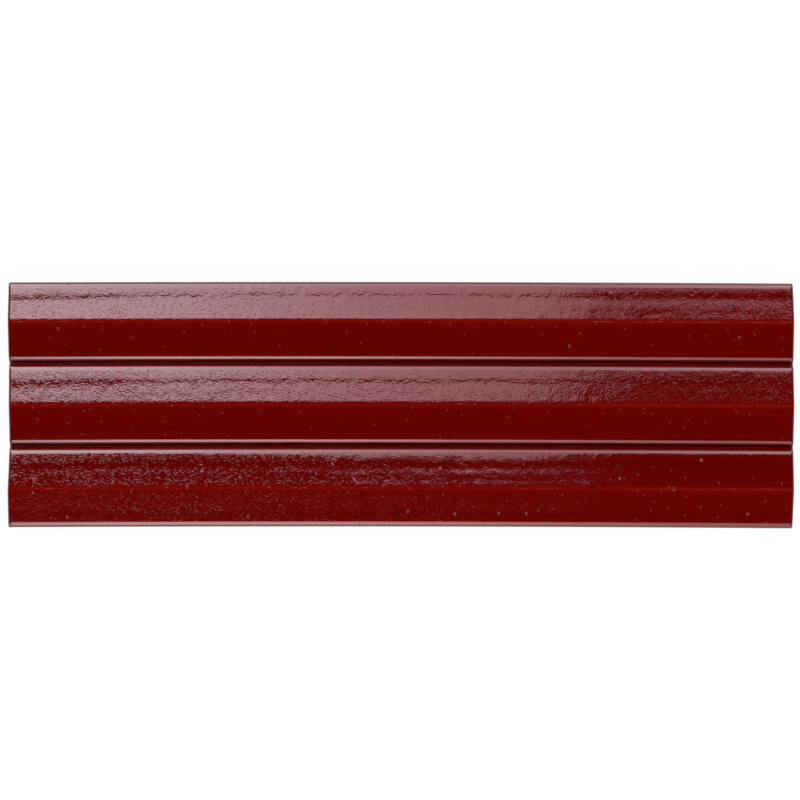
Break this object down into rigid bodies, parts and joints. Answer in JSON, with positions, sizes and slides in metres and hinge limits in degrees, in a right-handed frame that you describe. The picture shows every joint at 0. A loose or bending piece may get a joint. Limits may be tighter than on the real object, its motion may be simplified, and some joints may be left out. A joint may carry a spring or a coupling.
{
  "type": "fluted porcelain tile",
  "caption": "Long glazed wall tile whose face is a row of shallow two-facet ribs parted by narrow grooves, with eased ends and a flat keyed back.",
  "frame": {"origin": "centre of the back face, on the plane that the tile is bedded on", "axes": "+X along the ribs and the long sides, +Y across the ribs, +Z out of the glazed face"},
  "size_m": [0.203, 0.0636, 0.0102],
  "materials": {
    "glaze": "gloss"
  },
  "bodies": {
    "root": {"fluted_tile": "glaze"}
  },
  "joints": []
}
